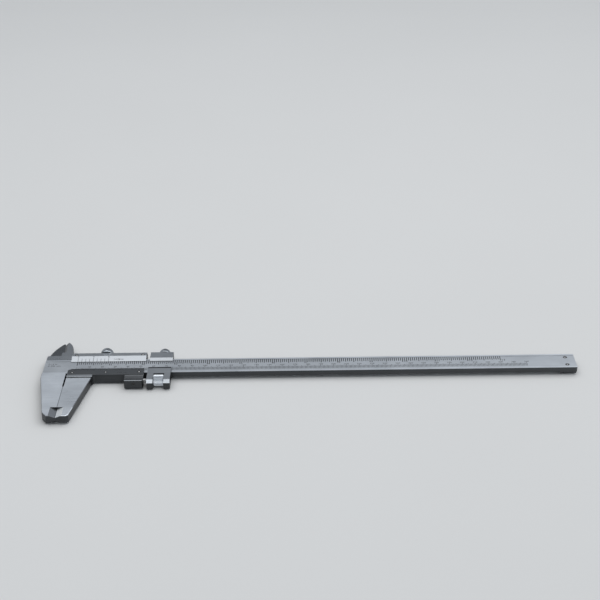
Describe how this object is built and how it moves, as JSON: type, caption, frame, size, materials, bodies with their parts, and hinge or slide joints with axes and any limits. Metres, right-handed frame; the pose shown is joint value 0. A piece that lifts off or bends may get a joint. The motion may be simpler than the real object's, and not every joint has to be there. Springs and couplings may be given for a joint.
{
  "type": "vernier caliper",
  "caption": "Long vernier caliper with outside and inside jaws, metric and inch scales, knurled lock screws and a fine adjustment nut on a sliding clamp.",
  "frame": {"origin": "centre of the closed caliper's outer box, at its lowest point, the rims of the slider lock screw's head", "axes": "+X along the beam from the head to the free end, +Y from the outside jaws towards the inside jaws, +Z out of the graduated face"},
  "size_m": [0.4134, 0.1106, 0.01],
  "materials": {
    "beam_steel": "satin hardened stainless steel with polished rails",
    "slider_steel": "fine ground stainless steel",
    "vernier_satin": "satin chrome",
    "clamp_steel": "fine ground stainless steel",
    "screw_steel": "turned and knurled steel",
    "small_screw": "bright turned steel",
    "gib_bronze": "rolled phosphor bronze"
  },
  "bodies": {
    "beam": {"beam": "beam_steel", "end_stop": "clamp_steel", "end_stop_screw_1": "small_screw", "end_stop_screw_2": "small_screw"},
    "slider": {"slider": "slider_steel", "inch_vernier_plate": "vernier_satin", "metric_vernier_plate": "vernier_satin", "inch_plate_screw_1": "small_screw", "inch_plate_screw_2": "small_screw", "metric_plate_screw_1": "small_screw", "metric_plate_screw_2": "small_screw", "metric_plate_screw_3": "small_screw", "gib_set_screw_1": "small_screw", "gib_set_screw_2": "small_screw", "fine_adjust_screw": "screw_steel", "fine_screw_set_screw": "small_screw"},
    "slider_gib": {"slider_gib": "gib_bronze"},
    "slider_lock": {"slider_lock_screw": "screw_steel"},
    "clamp": {"fine_adjust_clamp": "clamp_steel"},
    "clamp_gib": {"clamp_gib": "gib_bronze"},
    "clamp_lock": {"clamp_lock_screw": "screw_steel"},
    "fine_nut": {"fine_adjust_nut": "screw_steel"}
  },
  "joints": [
    {"name": "slider_slide", "type": "slide", "parent": "beam", "child": "slider", "axis": [1, 0, 0], "range_m": [0, 0.3]},
    {"name": "slider_gib_press", "type": "slide", "parent": "slider", "child": "slider_gib", "axis": [0, -1, 0], "range_m": [-0.000125, 0.000125]},
    {"name": "slider_lock_turn", "type": "hinge", "parent": "slider_gib", "child": "slider_lock", "pos_m": [-0.16025, 0.03575, 0.005], "axis": [0, -1, 0], "range_deg": [-91, 91]},
    {"name": "clamp_fine_slide", "type": "slide", "parent": "slider", "child": "clamp", "axis": [1, 0, 0], "range_m": [-0.0024, 0.0024]},
    {"name": "fine_nut_turn", "type": "hinge", "parent": "clamp", "child": "fine_nut", "pos_m": [-0.11595, -0.00305, 0.0052], "axis": [1, 0, 0], "range_deg": [-1730, 1730]},
    {"name": "clamp_gib_press", "type": "slide", "parent": "clamp", "child": "clamp_gib", "axis": [0, -1, 0], "range_m": [-0.000125, 0.000125]},
    {"name": "clamp_lock_turn", "type": "hinge", "parent": "clamp_gib", "child": "clamp_lock", "pos_m": [-0.11435, 0.03575, 0.005], "axis": [0, -1, 0], "range_deg": [-91, 91]}
  ],
  "couplings": [
    {"joint": "slider_lock_turn", "follows": "slider_gib_press", "rad_per_m": 12566},
    {"joint": "clamp_lock_turn", "follows": "clamp_gib_press", "rad_per_m": 12566},
    {"joint": "fine_nut_turn", "follows": "clamp_fine_slide", "rad_per_m": 12566}
  ]
}
